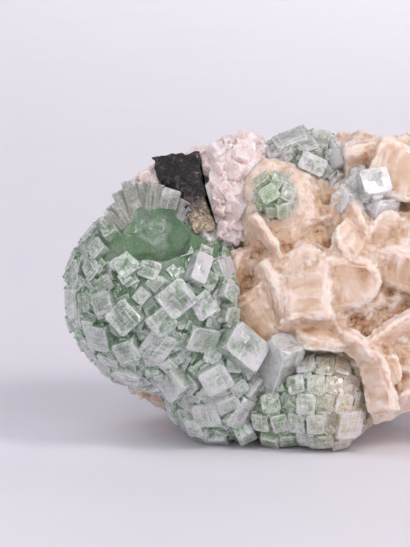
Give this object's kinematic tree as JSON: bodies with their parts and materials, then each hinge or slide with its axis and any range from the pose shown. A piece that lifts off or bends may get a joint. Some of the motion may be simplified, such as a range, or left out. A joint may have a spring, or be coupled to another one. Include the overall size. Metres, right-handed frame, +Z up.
{
  "type": "apophyllite specimen",
  "caption": "Mineral specimen: a ball and smaller clusters of green apophyllite crystals on peach stilbite blades, with a pale crust and dark basalt behind.",
  "frame": {"origin": "the middle of the specimen's bounding box, on the surface it rests on", "axes": "+X along the specimen's length, from the apophyllite ball to the stilbite end; -Y is the display side; +Z up"},
  "size_m": [0.134, 0.0783, 0.0935],
  "materials": {
    "stilbite": "pearly peach blades, waxy, whitish at their edges and orange-brown in the recesses",
    "basalt": "matt, rough, near black, speckled with grey and brown",
    "pale_crust": "sugary, pinkish white",
    "apophyllite": "glassy see-through crystals, pale green, deeper green inside and frosty at their tips"
  },
  "bodies": {
    "root": {"stilbite": "stilbite", "basalt_matrix": "basalt", "pale_crust": "pale_crust", "apophyllite_ball": "apophyllite", "apophyllite_fan": "apophyllite", "apophyllite_top": "apophyllite", "apophyllite_right": "apophyllite", "apophyllite_bud": "apophyllite", "apophyllite_back": "apophyllite"}
  },
  "joints": []
}
